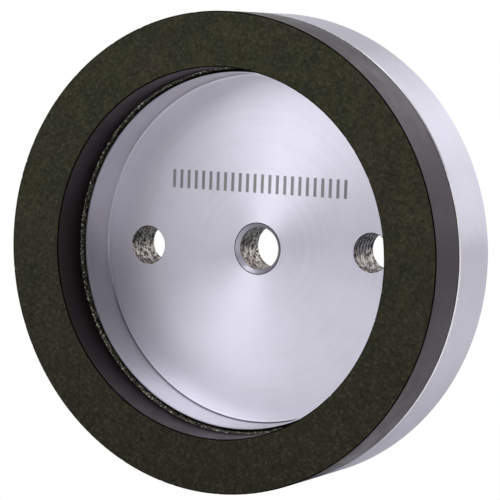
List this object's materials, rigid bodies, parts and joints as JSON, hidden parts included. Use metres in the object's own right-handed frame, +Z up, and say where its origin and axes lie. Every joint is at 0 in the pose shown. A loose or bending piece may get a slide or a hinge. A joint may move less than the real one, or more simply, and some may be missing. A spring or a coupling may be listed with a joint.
{
  "type": "diamond grinding wheel",
  "caption": "Cup-shaped grinding wheel: aluminium body with a spindle bore and fixing holes, and a wide resin-bond diamond ring glued on its rim.",
  "frame": {"origin": "centre of the wheel, on its axis and half way between the abrasive face and the flat back", "axes": "+Y along the axis from the abrasive face to the back, +X through the fixing holes, +Z up"},
  "size_m": [0.13, 0.036, 0.13],
  "materials": {
    "turned_aluminium": "fine turned, satin",
    "base_resin": "ground, matte",
    "diamond_resin": "dressed, matte, fine grit",
    "cured_adhesive": "lumpy, cured"
  },
  "bodies": {
    "root": {"body": "turned_aluminium", "base_ring": "base_resin", "diamond_ring": "diamond_resin", "adhesive": "cured_adhesive"}
  },
  "joints": []
}
